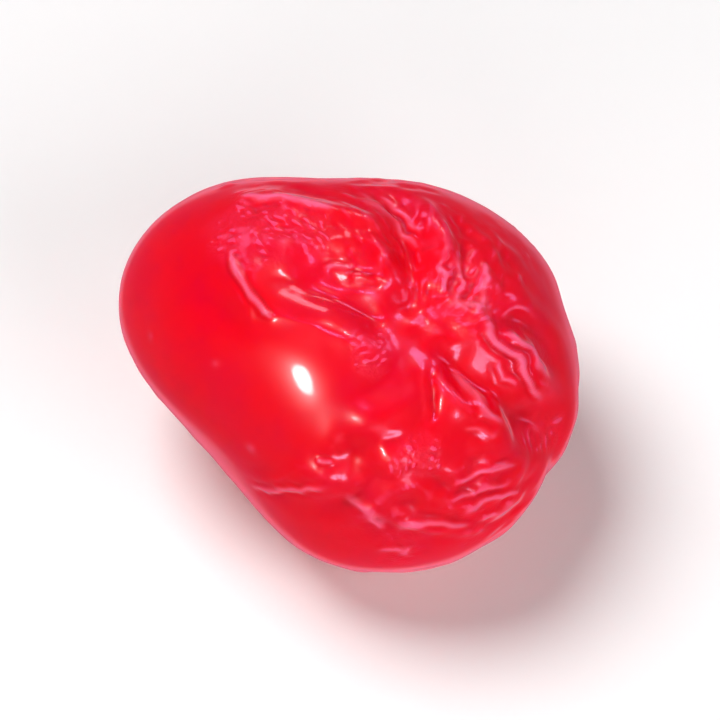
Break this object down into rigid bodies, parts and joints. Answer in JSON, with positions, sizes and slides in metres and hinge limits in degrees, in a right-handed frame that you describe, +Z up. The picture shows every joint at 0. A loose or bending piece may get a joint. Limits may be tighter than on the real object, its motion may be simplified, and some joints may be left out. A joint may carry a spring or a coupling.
{
  "type": "candied cherry",
  "caption": "Candied sweet cherry, pitted and without its stem: a plump, glossy fruit with folds of skin round its stem end and a slit where the pit came out.",
  "frame": {"origin": "centre of the box's floor, on the small flat spot that the cherry lies on", "axes": "+Z up; +X along the cherry's width, to the right as it is seen; -Y towards its front, so the stem end looks up and to the front"},
  "size_m": [0.024, 0.021, 0.0201],
  "materials": {
    "cherry_flesh": null
  },
  "bodies": {
    "root": {"cherry": "cherry_flesh"}
  },
  "joints": []
}
